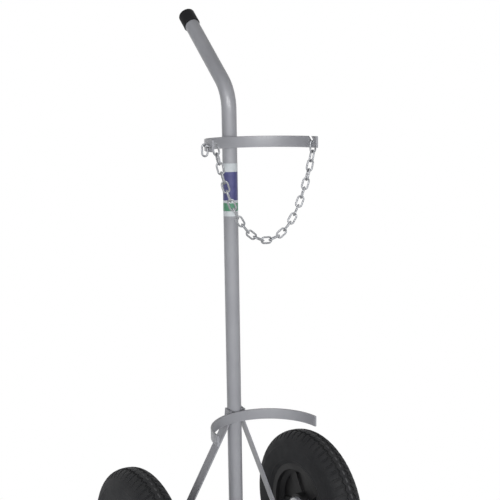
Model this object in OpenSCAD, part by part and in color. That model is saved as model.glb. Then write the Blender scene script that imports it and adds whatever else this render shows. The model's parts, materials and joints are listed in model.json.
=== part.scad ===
// Gas cylinder trolley with a single bent tube, two cradle bands, a safety chain and two pneumatic wheels.
// Origin on the floor under the axis of the carried cylinder. +Z up, -Y the open loading side, +X right.

/* [Spine tube] */
// Outside diameter of the spine tube
tube_od = 33.7; // [30:0.1:38]
// Wall of the spine tube
tube_wall = 2.6; // [2:0.1:4]
// Height above the upper band at which the straight tube and the handle would meet
bend_above = 110; // [100:1:160]
// Angle of the handle back from the vertical
bend_angle = 46; // [30:1:60]
// Centreline radius of the bend
bend_r = 95; // [80:1:130]
// Length of the handle from the corner to the cut end of the tube
handle_len = 253; // [220:1:320]

/* [Grip cap] */
// Wall of the push-on cap
cap_wall = 2.2; // [1:0.1:3]
// Length of the cap over the tube
cap_len = 33; // [20:1:60]
// Thickness of the closed end of the cap
cap_end = 4; // [3.5:0.5:8]
// Radius of the rounded edge of the cap
cap_round = 3; // [1:0.5:3.5]

/* [Cradle bands] */
// Inside radius of both bands
band_r = 125; // [115:1:135]
// Thickness of the flat bar
bar_t = 5; // [4:0.5:6]
// Height of the flat bar of the bands
bar_h = 25; // [22:1:30]
// Height of the middle of the upper band
upper_z = 1130; // [1100:1:1150]
// Height of the middle of the lower band
lower_z = 491; // [470:1:520]
// Angle that the upper band spans to the left of the tube
upper_left = 89; // [88:1:100]
// Angle that the upper band spans to the right of the tube
upper_right = 95; // [93:1:105]
// Angle that the lower band spans to the left of the tube
lower_left = 87; // [75:1:100]
// Angle that the lower band spans to the right of the tube
lower_right = 92; // [75:1:105]

/* [Braces] */
// Width of the brace bars
brace_w = 25; // [20:1:30]
// Thickness of the brace bars
brace_t = 4; // [3:0.5:8]
// How far the braces stand above the lower band
brace_above = 4.5; // [2:0.5:15]
// Length of the upright stretch that is welded to the tube
brace_flat = 28; // [15:1:35]
// Distance from the middle of the trolley to the foot of a brace
brace_foot_x = 145; // [110:1:160]
// How far the feet of the braces lie behind the axis of the spine tube
brace_foot_back = 46; // [34:1:48]
// Height of the cut feet of the braces above the axle
brace_foot_rise = 8; // [4:1:12]

/* [Foot] */
// Thickness of the toe plate
toe_t = 5; // [4:0.5:10]
// Width of the toe plate
toe_w = 220; // [160:1:300]
// How far the toe plate reaches in front of the cylinder axis
toe_front = 100; // [60:1:140]
// Corner radius of the toe plate
toe_corner = 30; // [5:1:60]
// Length of a foot gusset along the plate
gusset_run = 55; // [30:1:80]
// Height of a foot gusset along the tube
gusset_rise = 75; // [40:1:120]
// Height of the blunt ends of a gusset
gusset_nose = 5; // [3:0.5:10]
// Thickness of the gussets
gusset_t = 5; // [4:0.5:8]

/* [Axle] */
// Outside diameter of the cross tube that carries the axle
beam_od = 33.7; // [30:0.1:42]
// Wall of the cross tube
beam_wall = 2.6; // [2:0.1:4]
// Diameter of the axle
axle_d = 20; // [16:0.5:25]
// Distance between the middles of the two wheels
track = 480; // [460:1:560]
// Length of the bush at each end of the cross tube
bush_len = 22; // [12:1:40]
// Thickness of the axle washers
washer_t = 3; // [2:0.5:5]
// Outside diameter of the axle washers
washer_od = 38; // [32:1:46]
// Diameter of the split pins
split_d = 4; // [3:0.5:6]
// How far the axle stands out past a split pin
axle_tip = 9; // [6:1:20]

/* [Wheels] */
// Outside diameter of the tyres
tyre_d = 390; // [370:1:410]
// Greatest width of the tyres
tyre_w = 84; // [78:1:92]
// Depth of the tyre section from the tread to the beads
tyre_section = 100; // [96:1:108]
// Thickness of the tyre wall
tyre_wall = 8; // [6:0.5:10]
// Depth of the tread grooves
groove_depth = 5; // [3:0.5:6]
// Width of the tread grooves
groove_w = 5; // [3:0.5:7]
// Distance of the tread grooves from the middle of the tread
groove_x = 11; // [7:0.5:16]
// Bead seat radius of the rim
bead_r = 101.6; // [99:0.2:103]
// Width between the rim flanges
rim_w = 63.5; // [58:0.5:66]
// Height of the rim flanges above the bead seat
flange_h = 11.4; // [9:0.2:13]
// Wall of the rim
rim_wall = 4; // [3:0.5:6]
// Depth of the rim well below the bead seat
well_depth = 11; // [8:0.5:14]
// Number of spokes
spokes = 5; // [3:1:8]
// Turn of the first spoke from the foot of the wheel
spoke_turn = 5; // [0:1:72]
// Width of a spoke at the boss
spoke_root = 24; // [20:1:36]
// Width of a spoke at the rim
spoke_tip = 28; // [24:1:50]
// Thickness of the spokes along the axle
spoke_t = 34; // [24:1:40]
// Thickness of the web between the spokes
web_t = 5; // [3:0.5:6]
// Distance of the middle of the web from the middle of the wheel, towards the trolley
web_in = 9; // [8.5:0.5:12]
// Outside diameter of the hub tube
hub_od = 52; // [50:0.5:56]
// Length of the hub tube
hub_len = 86; // [80:1:110]
// Wall of the moulded boss round the hub tube
boss_wall = 7; // [5:0.5:10]
// Outside diameter of the wheel bearings
bearing_od = 47; // [44:0.5:48]
// Width of the wheel bearings
bearing_w = 14; // [10:0.5:18]
// Wall of the spacer between the bearings
spacer_wall = 3; // [2:0.5:5]
// Diameter of the valve stems
valve_d = 8; // [6:0.5:10]
// Length of the valve stems inside the rim
valve_len = 26; // [20:1:32]

/* [Chain] */
// Wire diameter of the links
link_d = 4; // [3.5:0.1:4.5]
// Inside length of a link
link_pitch = 20.8; // [20:0.1:22]
// Inside width of a link
link_in = 9; // [8.5:0.1:10]
// How far behind the axis of the cylinder the fixed end of the chain lies
anchor_y = 17.5; // [14:0.5:20]
// How far behind the axis of the cylinder the hooked end of the chain hangs
hook_y = 5; // [0:0.5:8]
// Twist of the links about the chain where it hangs steeply
link_twist = 32; // [0:1:40]
// Width of the slanted hook slot
slot_w = 7; // [6.5:0.1:8]
// Slant of the hook slot from the vertical
slot_slant = 42; // [30:1:50]

/* [Clearances] */
// Gap at welded seams and push fits
seam_gap = 0.05; // [0.02:0.01:0.1]
// Radial clearance of the wheel bearings on the axle
running_gap = 0.04; // [0.02:0.01:0.09]
// Gap between pieces that lie loosely against each other
loose_gap = 0.25; // [0.2:0.05:0.4]
// Gap between a link and the wire that it hangs on
link_gap = 0.2; // [0.15:0.05:0.4]
// Gap between the hooked link and the foot of its slot
hook_gap = 0.4; // [0.35:0.05:0.5]
// Gap between the first link and the anchor link that it swings on
anchor_gap = 0.8; // [0.7:0.05:0.9]

/* [Hidden] */
$fn = 64;

paint = [0.58, 0.58, 0.61];
black = [0.14, 0.14, 0.15];
zinc = [0.72, 0.74, 0.76];

tube_r = tube_od / 2;
beam_r = beam_od / 2;
band_out = band_r + bar_t;
band_mid = band_r + bar_t / 2;
tube_y = band_out + seam_gap + tube_r;
axle_y = tube_y + tube_r + beam_r + seam_gap;
axle_z = tyre_d / 2;
axle_r = axle_d / 2;
tyre_r = tyre_d / 2;

// The bend takes this much of the straight tube and of the handle
bend_corner_z = upper_z + bend_above;
bend_take = bend_r * tan(bend_angle / 2);
bend_low_z = bend_corner_z - bend_take;
// In the bend the wall is thinner by this on each face, and the bend laps into both straights by this angle
bend_thin = 0.1;
bend_lap = 0.5;

// Stations along the axle, from the middle of a wheel outwards
hub_end = hub_len / 2;
wheel_x = track / 2;
beam_end = wheel_x - hub_end - washer_t - 2 * loose_gap;
washer_out = hub_end + loose_gap;
split_x = wheel_x + washer_out + washer_t + loose_gap + split_d / 2;
axle_end = split_x + split_d / 2 + axle_tip;
split_hole_gap = 0.1;
split_overhang = 9;
split_eye_r = 4.5;

// Wheel section
flange_r = bead_r + flange_h;
flange_in = rim_w / 2;
squareness = 0.8;
section_step = 7.5;
section_mid = tyre_r - tyre_section / 2;
tyre_in_r = tyre_r - tyre_section;
tube_in_r = tyre_in_r + tyre_wall + loose_gap;
bead_w = 9.5;
boss_r = hub_od / 2 + boss_wall;
boss_inset = 10;
boss_len = hub_len - 2 * boss_inset;
well_half = 14;
well_slope = 8;
well_r = bead_r - well_depth;
tube_skin = 2.5;
valve_angle = spoke_turn + 180 / spokes;
valve_cap_len = 10;
valve_cap_wall = 1.2;
valve_foot_d = 18;
valve_foot_t = 2.5;
shield_step = 1.2;

// Chain: pivots lie in the wires of the links that stand across the chain's plane
link_r = (link_in + link_d) / 2;
link_reach = link_pitch + link_d;
link_straight = link_reach - 2 * link_r;
hang = link_d + link_gap;
anchor_hang = link_d + anchor_gap;
link_count = 25;
free_links = link_count - 1;
swing_above = 1.95;
swing_z = upper_z + swing_above;
tail_room = 1.1;
band_left_x = -sqrt(pow(band_out, 2) - pow(anchor_y - link_d / 2, 2));
anchor_out_x = band_left_x - tail_room - link_r - link_d / 2;
anchor_in_x = anchor_out_x + link_reach;
hole_x = -sqrt(pow(band_mid, 2) - pow(anchor_y, 2));
hook_x = sqrt(pow(band_mid, 2) - pow(hook_y, 2));
hook_drop = link_reach - hang;
twist_links = 5;
hole_play = 0.5;
// The hooked link's wire dips by this much where it passes the faces of the band
hook_dip = link_in / 2 - sqrt(pow(link_in / 2, 2) - pow(bar_t / 2, 2));
slot_play = hook_dip + hook_gap;
cut_len = 4 * bar_t;
round_step = 15;

// The chain hangs in an upright plane from the inner end of the anchor link to the hook
chain_run = [hook_x - anchor_in_x, hook_y - anchor_y];
plane_turn = atan2(chain_run[1], chain_run[0]);
start_p = [0, upper_z];
end_p = [norm(chain_run), swing_z - hook_drop];
span = end_p - start_p;

function across(i) = i % 2 == 1;
function run(i) = across(i) ? link_reach : link_reach - hang - (i == 0 ? anchor_hang : hang);
function total(v) = v * [for (x = v) 1];
runs = [for (i = [0 : free_links - 1]) run(i)];
middles = [for (i = [0 : free_links - 1]) total([for (j = [0 : i]) runs[j]]) - runs[i] / 2];
chain_len = total(runs);

// A hanging chain: the slope of each link grows with its distance along the chain from the lowest point
function slopes(a, low) = [for (m = middles) atan((m - low) / a)];
function width_of(t) = runs * [for (x = t) cos(x)];
function rise_of(t) = runs * [for (x = t) sin(x)];
function find_low(a, lo = 0, hi = chain_len, n = 26) =
    let(mid = (lo + hi) / 2)
    n == 0 ? mid
    : rise_of(slopes(a, mid)) > span[1] ? find_low(a, mid, hi, n - 1)
    : find_low(a, lo, mid, n - 1);
function find_a(lo = link_d, hi = chain_len, n = 26) =
    let(mid = (lo + hi) / 2)
    n == 0 ? mid
    : width_of(slopes(mid, find_low(mid))) > span[0] ? find_a(lo, mid, n - 1)
    : find_a(mid, hi, n - 1);
chain_a = find_a();
tilt = slopes(chain_a, find_low(chain_a));
pivots = [for (i = [0 : free_links])
    start_p + (i == 0 ? [0, 0] : [for (axis = [0, 1])
        total([for (j = [0 : i - 1]) runs[j] * (axis == 0 ? cos(tilt[j]) : sin(tilt[j]))])])];

function two_digits(i) = i < 10 ? str("0", i) : str(i);
LINKS = [for (i = [1 : link_count]) str("chain_link_", two_digits(i))];
SIDES = ["left", "right"];
WHEEL_PIECES = ["tyre", "inner_tube", "rim", "hub_tube", "bearings", "bearing_spacer",
                "valve_stem", "valve_cap"];
FRAME_PIECES = ["brace", "gusset", "axle_bush", "washers", "split_pin"];

// A rod or ring along X
module along_x() { rotate([0, 90, 0]) children(); }

// Places a right-hand piece, or its mirror image on the left
module on_side(side) { mirror([side == "left" ? 1 : 0, 0, 0]) children(); }

// Middle of the right wheel, with the wheel's axis along Z and its outer face up
module at_wheel() { translate([wheel_x, axle_y, axle_z]) along_x() children(); }

module pipe_section(outer, wall) {
    difference() {
        circle(r = outer);
        circle(r = outer - wall);
    }
}

module ring(outer, inner, height) {
    linear_extrude(height) pipe_section(outer, outer - inner);
}

// One tube, bent once: straight, bend and handle
module spine_tube() {
    color(paint) translate([0, tube_y, 0]) {
        linear_extrude(bend_low_z) pipe_section(tube_r, tube_wall);
        translate([0, bend_r, bend_low_z]) rotate([90, 0, -90]) rotate([0, 0, -bend_lap])
            rotate_extrude(angle = bend_angle + 2 * bend_lap, $fn = 96) translate([bend_r, 0])
                pipe_section(tube_r - bend_thin, tube_wall - 2 * bend_thin);
        translate([0, 0, bend_corner_z]) rotate([-bend_angle, 0, 0]) translate([0, 0, bend_take])
            linear_extrude(handle_len - bend_take) pipe_section(tube_r, tube_wall);
    }
}

module at_handle_end() {
    translate([0, tube_y, bend_corner_z]) rotate([-bend_angle, 0, 0])
        translate([0, 0, handle_len]) children();
}

module grip_cap() {
    inner = tube_r + seam_gap;
    outer = inner + cap_wall;
    corner = [outer - cap_round, cap_end - cap_round];
    edge = [for (a = [0 : 15 : 90]) corner + cap_round * [cos(a), sin(a)]];
    color(black) at_handle_end() rotate_extrude()
        polygon(concat([[0, 0], [inner, 0], [inner, -cap_len], [outer, -cap_len]], edge, [[0, cap_end]]));
}

// Flat bar rolled to an arc round the axis of the cylinder, open to the front
module band(left, right) {
    translate([0, 0, -bar_h / 2]) rotate([0, 0, 90 - right])
        rotate_extrude(angle = left + right, $fn = 160) translate([band_r, 0]) square([bar_t, bar_h]);
}

// Outline with round ends, from the origin upwards
function stadium(r, length) = concat(
    [for (a = [180 : round_step : 360]) [r * cos(a), r * sin(a)]],
    [for (a = [0 : round_step : 180]) [r * cos(a), length + r * sin(a)]]);

// Cuts an outline, drawn in Y and Z, through a band's end along X
module cut_at(at) {
    translate(at) rotate([90, 0, 90]) linear_extrude(cut_len, center = true) children();
}

// Level hole through which the anchor link lies
module anchor_hole() {
    cut_at([hole_x, anchor_y, upper_z]) rotate(90) translate([0, -link_r])
        polygon(stadium(link_d / 2 + hole_play, 2 * link_r));
}

// Slanted slot from the upper edge, in which the last link hooks
module hook_slot() {
    foot = slot_w / 2 - link_d / 2 - slot_play;
    cut_at([hook_x, hook_y, swing_z + foot]) rotate(-slot_slant) polygon(stadium(slot_w / 2, 2 * bar_h));
}

module upper_band() {
    color(paint) difference() {
        translate([0, 0, upper_z]) band(upper_left, upper_right);
        anchor_hole();
        hook_slot();
    }
}

module lower_band() {
    color(paint) translate([0, 0, lower_z]) band(lower_left, lower_right);
}

// Flat bar against the side of the tube, bent outwards to the cross tube and leaning back
module brace() {
    top_z = lower_z + bar_h / 2 + brace_above;
    bend_z = top_z - brace_flat;
    x0 = tube_r + seam_gap;
    fall = bend_z - axle_z - brace_foot_rise;
    lean = atan(brace_foot_back / fall);
    reach = fall / cos(lean);
    splay = atan((brace_foot_x - x0 - brace_t / 2) / reach);
    slope_len = reach / cos(splay);
    miter = brace_t * tan(splay / 2);
    foot = [x0 + slope_len * sin(splay), -slope_len * cos(splay)];
    normal = [cos(splay), sin(splay)] * brace_t;
    outline = [[x0, brace_flat], [x0, 0], foot, foot + normal,
               [x0 + brace_t, miter], [x0 + brace_t, brace_flat]];
    color(paint) difference() {
        translate([0, tube_y, bend_z]) rotate([lean, 0, 0]) rotate([90, 0, 0])
            linear_extrude(brace_w, center = true) polygon(outline);
        translate([0, axle_y, axle_z]) along_x()
            cylinder(r = beam_r + seam_gap, h = 2 * wheel_x, center = true);
    }
}

// Plate in front of the gussets, notched round the tube
module toe_plate() {
    back = tube_y - gusset_t / 2 - seam_gap;
    middle = [toe_w / 2 - toe_corner, toe_corner - toe_front];
    right_arc = [for (a = [0 : -10 : -90]) middle + toe_corner * [cos(a), sin(a)]];
    left_arc = [for (a = [-90 : 10 : 0]) [-middle[0] - toe_corner * cos(a), middle[1] + toe_corner * sin(a)]];
    color(paint) linear_extrude(toe_t) difference() {
        polygon(concat([[toe_w / 2, back]], right_arc, left_arc, [[-toe_w / 2, back]]));
        translate([0, tube_y]) circle(r = tube_r + seam_gap);
    }
}

module gusset() {
    x0 = tube_r + seam_gap;
    x1 = x0 + gusset_run;
    nose = toe_t + gusset_nose;
    top = toe_t + gusset_rise;
    color(paint) translate([0, tube_y + gusset_t / 2, 0]) rotate([90, 0, 0]) linear_extrude(gusset_t)
        polygon([[x0, 0], [x1, 0], [x1, nose], [x0 + gusset_nose, top], [x0, top]]);
}

module axle_beam() {
    color(paint) translate([-beam_end, axle_y, axle_z]) along_x()
        linear_extrude(2 * beam_end) pipe_section(beam_r, beam_wall);
}

module axle() {
    color(zinc) difference() {
        translate([0, axle_y, axle_z]) along_x() cylinder(r = axle_r, h = 2 * axle_end, center = true);
        for (s = [-1, 1]) translate([s * split_x, axle_y, axle_z])
            cylinder(r = split_d / 2 + split_hole_gap, h = 2 * axle_d, center = true);
    }
}

module axle_bush() {
    color(zinc) translate([beam_end - bush_len, axle_y, axle_z]) along_x()
        ring(beam_r - beam_wall - seam_gap, axle_r + seam_gap, bush_len);
}

// Inner and outer washer of one wheel
module washers() {
    color(zinc) for (z = [-hub_end - loose_gap - washer_t, washer_out])
        at_wheel() translate([0, 0, z]) ring(washer_od / 2, axle_r + loose_gap, washer_t);
}

// Split pin through the axle, with its eye above
module split_pin() {
    pin_top = axle_r + split_overhang / 2;
    pin_low = axle_r + split_overhang;
    color(zinc) translate([split_x, axle_y, axle_z]) {
        translate([0, 0, -pin_low]) cylinder(d = split_d, h = pin_low + pin_top);
        translate([0, 0, pin_top + split_eye_r]) along_x()
            rotate_extrude() translate([split_eye_r, 0]) circle(d = split_d);
    }
}

function section(inset) = [for (u = [0 : section_step : 359]) let(c = cos(u), s = sin(u)) [
    section_mid + (tyre_section / 2 - inset) * sign(s) * pow(abs(s), squareness),
    (tyre_w / 2 - inset) * sign(c) * pow(abs(c), squareness)]];

module tyre() {
    color(black) at_wheel() rotate_extrude($fn = 120) difference() {
        polygon(section(0));
        polygon(section(tyre_wall));
        translate([0, bead_w - flange_in]) square([tyre_in_r + 2 * tyre_wall, rim_w - 2 * bead_w]);
        translate([0, -tyre_w]) square([bead_r + loose_gap, 2 * tyre_w]);
        for (s = [0, 1]) mirror([0, s]) {
            translate([0, flange_in - loose_gap]) square([flange_r + loose_gap, tyre_w]);
            translate([tyre_r - groove_depth, groove_x - groove_w / 2]) square([2 * groove_depth, groove_w]);
        }
    }
}

module inner_tube() {
    color(black) at_wheel() rotate_extrude($fn = 120) difference() {
        polygon(section(tyre_wall + loose_gap));
        polygon(section(tyre_wall + loose_gap + tube_skin));
    }
}

function mirrored(v) = [for (i = [len(v) - 1 : -1 : 0]) [v[i][0], -v[i][1]]];

// Moulded wheel: rim barrel with a well, spokes on a web and the boss round the hub tube
module rim() {
    half = [[flange_r, flange_in + rim_wall], [flange_r, flange_in], [bead_r, flange_in],
            [bead_r, well_half + well_slope], [well_r, well_half]];
    skin = [[well_r - rim_wall, well_half + rim_wall / 2],
            [bead_r - rim_wall, well_half + well_slope + rim_wall / 2],
            [bead_r - rim_wall, flange_in + rim_wall]];
    spoke_out = well_r - rim_wall / 2;
    color(black) at_wheel() difference() {
        union() {
            rotate_extrude($fn = 120) polygon(concat(half, mirrored(half), mirrored(skin), skin));
            translate([0, 0, -boss_len / 2]) cylinder(r = boss_r, h = boss_len);
            translate([0, 0, -web_in - web_t / 2]) cylinder(r = spoke_out, h = web_t);
            for (i = [0 : spokes - 1]) rotate([0, 0, spoke_turn + i * 360 / spokes])
                translate([0, 0, -spoke_t / 2]) linear_extrude(spoke_t)
                    polygon([[0, -spoke_root / 2], [spoke_out, -spoke_tip / 2],
                             [spoke_out, spoke_tip / 2], [0, spoke_root / 2]]);
        }
        cylinder(r = hub_od / 2 + seam_gap, h = 2 * hub_len, center = true);
        rotate([0, 0, valve_angle]) along_x() translate([0, 0, well_r - 2 * rim_wall])
            cylinder(d = valve_d + 2 * loose_gap, h = 4 * rim_wall);
    }
}

module hub_tube() {
    color(paint) at_wheel() translate([0, 0, -hub_end]) ring(hub_od / 2, bearing_od / 2 + seam_gap, hub_len);
}

// Two sealed bearings, one at each end of the hub tube
module bearings() {
    in_r = axle_r + running_gap;
    out_r = bearing_od / 2;
    race = (out_r - in_r) / 4;
    color(zinc) at_wheel() for (s = [0, 1]) mirror([0, 0, s]) translate([0, 0, hub_end - bearing_w])
        difference() {
            ring(out_r, in_r, bearing_w);
            for (z = [-shield_step, bearing_w - shield_step])
                translate([0, 0, z]) ring(out_r - race, in_r + race, 2 * shield_step);
        }
}

module bearing_spacer() {
    inner = axle_r + loose_gap;
    length = hub_len - 2 * bearing_w - 2 * seam_gap;
    color(zinc) at_wheel() translate([0, 0, -length / 2]) ring(inner + spacer_wall, inner, length);
}

module at_valve() { at_wheel() rotate([0, 0, valve_angle]) along_x() children(); }

// Rubber stem from the inner tube through the rim well, pointing at the hub
module valve_stem() {
    foot_z = sqrt(pow(tube_in_r, 2) - pow(valve_foot_d / 2, 2)) - seam_gap;
    color(black) at_valve() {
        translate([0, 0, well_r - valve_len]) cylinder(d = valve_d, h = foot_z - well_r + valve_len);
        translate([0, 0, foot_z - valve_foot_t]) cylinder(d = valve_foot_d, h = valve_foot_t);
    }
}

module valve_cap() {
    top = well_r - valve_len;
    cap_r = valve_d / 2 + valve_cap_wall;
    color(black) at_valve() difference() {
        translate([0, 0, top - valve_cap_wall]) cylinder(r = cap_r, h = valve_cap_len);
        translate([0, 0, top - seam_gap]) cylinder(r = valve_d / 2 + seam_gap, h = 2 * valve_cap_len);
    }
}

// Round-wire link along Z, in the XZ plane
module link() {
    color(zinc) {
        for (k = [0, 1]) rotate([0, 180 * k, 0]) translate([0, 0, link_straight / 2]) rotate([90, 0, 0])
            rotate_extrude(angle = 180, $fn = 48) translate([link_r, 0]) circle(d = link_d, $fn = 24);
        for (s = [-1, 1]) translate([s * link_r, 0, -link_straight / 2])
            cylinder(d = link_d, h = link_straight, $fn = 24);
    }
}

// Places a link in an upright plane by its middle, its slope and its turn about its own length
module place_link(at, slope, turn) {
    translate([at[0], 0, at[1]]) rotate([0, 90 - slope, 0]) rotate([0, 0, turn]) link();
}

// Level link through the band's left end
module anchor_link() {
    translate([0, anchor_y, 0]) place_link([(anchor_in_x + anchor_out_x) / 2, upper_z], 0, 90);
}

// Loose end link that hangs outside and keeps the chain in its hole
module tail_link() {
    translate([0, anchor_y, 0]) place_link([anchor_out_x, upper_z + hang - link_reach / 2], 90, 0);
}

// Every other link stands across the chain, and all of them twist a little on the steep stretches
module chain_link(i) {
    translate([anchor_in_x, anchor_y, 0]) rotate([0, 0, plane_turn])
        if (i == free_links) {
            place_link([end_p[0], swing_z - link_reach / 2], 90, 0);
        } else {
            along = [cos(tilt[i]), sin(tilt[i])];
            shift = i == 0 ? (hang - anchor_hang) / 2 : 0;
            from_end = min(i, free_links - 1 - i);
            twist = link_twist * sin(tilt[i]) * min(1, from_end / twist_links);
            place_link((pivots[i] + pivots[i + 1]) / 2 + shift * along, tilt[i], (across(i) ? 90 : 0) - twist);
        }
}

spine_tube();
grip_cap();
upper_band();
lower_band();
toe_plate();
axle_beam();
axle();
anchor_link();
tail_link();
for (side = SIDES) on_side(side) {
    brace();
    gusset();
    axle_bush();
    washers();
    split_pin();
    tyre();
    inner_tube();
    rim();
    hub_tube();
    bearings();
    bearing_spacer();
    valve_stem();
    valve_cap();
}
for (i = [0 : link_count - 1]) chain_link(i);
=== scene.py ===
import json
import math

import bmesh
import bpy
import numpy as np
from mathutils import Matrix, Vector


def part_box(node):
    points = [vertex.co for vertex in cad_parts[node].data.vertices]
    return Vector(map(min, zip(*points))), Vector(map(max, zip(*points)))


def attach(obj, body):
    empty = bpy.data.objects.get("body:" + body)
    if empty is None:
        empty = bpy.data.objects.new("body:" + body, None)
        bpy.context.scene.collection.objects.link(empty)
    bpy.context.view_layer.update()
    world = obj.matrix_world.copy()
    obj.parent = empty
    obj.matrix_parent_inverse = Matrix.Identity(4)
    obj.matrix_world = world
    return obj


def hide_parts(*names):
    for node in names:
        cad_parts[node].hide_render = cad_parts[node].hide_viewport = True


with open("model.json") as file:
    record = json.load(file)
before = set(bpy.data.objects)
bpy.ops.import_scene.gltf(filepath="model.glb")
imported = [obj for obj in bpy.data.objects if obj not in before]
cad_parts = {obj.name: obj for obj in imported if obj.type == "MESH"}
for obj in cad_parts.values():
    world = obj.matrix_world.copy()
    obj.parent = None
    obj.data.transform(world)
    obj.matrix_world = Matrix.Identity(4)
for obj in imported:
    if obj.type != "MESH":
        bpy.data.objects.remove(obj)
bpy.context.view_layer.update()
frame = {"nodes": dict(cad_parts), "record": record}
nodes = frame["nodes"]
scene = bpy.context.scene
sides = ("left", "right")
print("frame loaded:", len(nodes), "nodes")

# camera at the photograph's viewing angle
photoView = {
    "place": (-1.1668, -1.7745, 1.2289),
    "yaw": 32.311,  # degrees to the right of straight ahead
    "pitch": 11.707,  # degrees downwards
    "roll": -0.796,
    "focalPixels": 990.3,
    "centreRow": 301.8,  # image row of the lens axis
    "imageSize": 500,
    "sensor": 36.0,
    "clip": (0.01, 100.0),
}


def placeCamera(view):
    yaw, pitch, roll = (math.radians(view[key]) for key in ("yaw", "pitch", "roll"))
    ahead = Vector((math.sin(yaw) * math.cos(pitch), math.cos(yaw) * math.cos(pitch), -math.sin(pitch)))
    right = Vector((math.cos(yaw), -math.sin(yaw), 0))
    up = right.cross(ahead)
    rightTurned = right * math.cos(roll) + up * math.sin(roll)
    upTurned = up * math.cos(roll) - right * math.sin(roll)
    data = bpy.data.cameras.new("photoCamera")
    data.sensor_width = view["sensor"]
    data.lens = view["focalPixels"] / view["imageSize"] * view["sensor"]
    data.shift_y = view["centreRow"] / view["imageSize"] - 0.5
    data.clip_start, data.clip_end = view["clip"]
    camera = bpy.data.objects.new("photoCamera", data)
    scene.collection.objects.link(camera)
    turn = Matrix((rightTurned, upTurned, -ahead)).transposed().to_4x4()
    camera.matrix_world = Matrix.Translation(view["place"]) @ turn
    scene.camera = camera


placeCamera(photoView)
print("camera placed")


# shader groups that several finishes share
grainParts = {"detail": 2.0, "coarseScale": 0.15}  # the coarse part's scale is a share of the fine one's
wearParts = {"samples": 4, "detail": 5.0, "broken": (0.42, 0.62), "bend": (0.02, 0.18)}
dustParts = {"detail": 5.0, "upward": (-0.2, 1.0), "patches": (0.3, 0.75)}
mottleDetail = 4.0


def newGroup(name, inputs, outputs):
    group = bpy.data.node_groups.new(name, "ShaderNodeTree")
    for label, value in inputs:
        socket = group.interface.new_socket(label, in_out="INPUT", socket_type="NodeSocketFloat")
        socket.default_value = value
    for label in outputs:
        group.interface.new_socket(label, in_out="OUTPUT", socket_type="NodeSocketFloat")
    return group, group.nodes.new("NodeGroupInput"), group.nodes.new("NodeGroupOutput")


def addNode(tree, kind, **settings):
    node = tree.nodes.new("ShaderNode" + kind)
    for key, value in settings.items():
        setattr(node, key, value)
    return node


def feed(tree, socket, value):
    if isinstance(value, bpy.types.NodeSocket):
        tree.links.new(value, socket)
    else:
        socket.default_value = value


def calc(tree, operation, *values, clamp=False):
    node = addNode(tree, "Math", operation=operation, use_clamp=clamp)
    for socket, value in zip(node.inputs, values):
        feed(tree, socket, value)
    return node.outputs[0]


def stretchMask(tree, value, low, high):
    node = addNode(tree, "MapRange", interpolation_type="SMOOTHSTEP")
    feed(tree, node.inputs["Value"], value)
    feed(tree, node.inputs["From Min"], low)
    feed(tree, node.inputs["From Max"], high)
    return node.outputs["Result"]


def noise(tree, scale, detail):
    node = addNode(tree, "TexNoise")
    node.inputs["Detail"].default_value = detail
    feed(tree, node.inputs["Scale"], scale)
    feed(tree, node.inputs["Vector"], addNode(tree, "TexCoord").outputs["Object"])
    return node.outputs["Fac"]


def makeMottle():  # soft patches, for uneven colour and gloss
    group, start, end = newGroup("mottle", [("Scale", 25.0), ("Contrast", 0.25)], ["Mask"])
    patches = noise(group, start.outputs["Scale"], mottleDetail)
    low = calc(group, "SUBTRACT", 0.5, start.outputs["Contrast"])
    high = calc(group, "ADD", 0.5, start.outputs["Contrast"])
    feed(group, end.inputs["Mask"], stretchMask(group, patches, low, high))
    return group


def makeSurfaceGrain():  # fine relief of paint, rubber and moulded plastic
    group, start, end = newGroup("surfaceGrain", [("Scale", 900.0), ("Coarse Share", 0.3)], ["Height"])
    fine = noise(group, start.outputs["Scale"], grainParts["detail"])
    coarseScale = calc(group, "MULTIPLY", start.outputs["Scale"], grainParts["coarseScale"])
    coarse = noise(group, coarseScale, grainParts["detail"])
    mixed = calc(group, "MULTIPLY_ADD", coarse, start.outputs["Coarse Share"], fine)
    feed(group, end.inputs["Height"], mixed)
    return group


def makeEdgeWear():  # worn corners, broken up by noise
    group, start, end = newGroup("edgeWear", [("Radius", 0.0012), ("Break Scale", 180.0)], ["Mask"])
    bevel = addNode(group, "Bevel", samples=wearParts["samples"])
    feed(group, bevel.inputs["Radius"], start.outputs["Radius"])
    dot = addNode(group, "VectorMath", operation="DOT_PRODUCT")
    feed(group, dot.inputs[0], bevel.outputs["Normal"])
    feed(group, dot.inputs[1], addNode(group, "NewGeometry").outputs["Normal"])
    bend = calc(group, "SUBTRACT", 1.0, dot.outputs["Value"])
    flecks = noise(group, start.outputs["Break Scale"], wearParts["detail"])
    broken = stretchMask(group, flecks, *wearParts["broken"])
    edge = stretchMask(group, bend, *wearParts["bend"])
    feed(group, end.inputs["Mask"], calc(group, "MULTIPLY", edge, broken, clamp=True))
    return group


def makeDust():  # thin dust on faces that look up
    group, start, end = newGroup("dust", [("Amount", 0.3), ("Scale", 60.0)], ["Mask"])
    split = addNode(group, "SeparateXYZ")
    feed(group, split.inputs[0], addNode(group, "NewGeometry").outputs["Normal"])
    upward = stretchMask(group, split.outputs["Z"], *dustParts["upward"])
    specks = noise(group, start.outputs["Scale"], dustParts["detail"])
    patches = stretchMask(group, specks, *dustParts["patches"])
    both = calc(group, "MULTIPLY", upward, patches)
    feed(group, end.inputs["Mask"], calc(group, "MULTIPLY", both, start.outputs["Amount"], clamp=True))
    return group


mottle = makeMottle()
surfaceGrain = makeSurfaceGrain()
edgeWear = makeEdgeWear()
dust = makeDust()


# finishes
patchContrast = 0.3  # of every coated finish


def useGroup(tree, group, output, **values):
    node = tree.nodes.new("ShaderNodeGroup")
    node.node_tree = group
    for label, value in values.items():
        node.inputs[label.replace("_", " ")].default_value = value
    return node.outputs[output]


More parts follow.
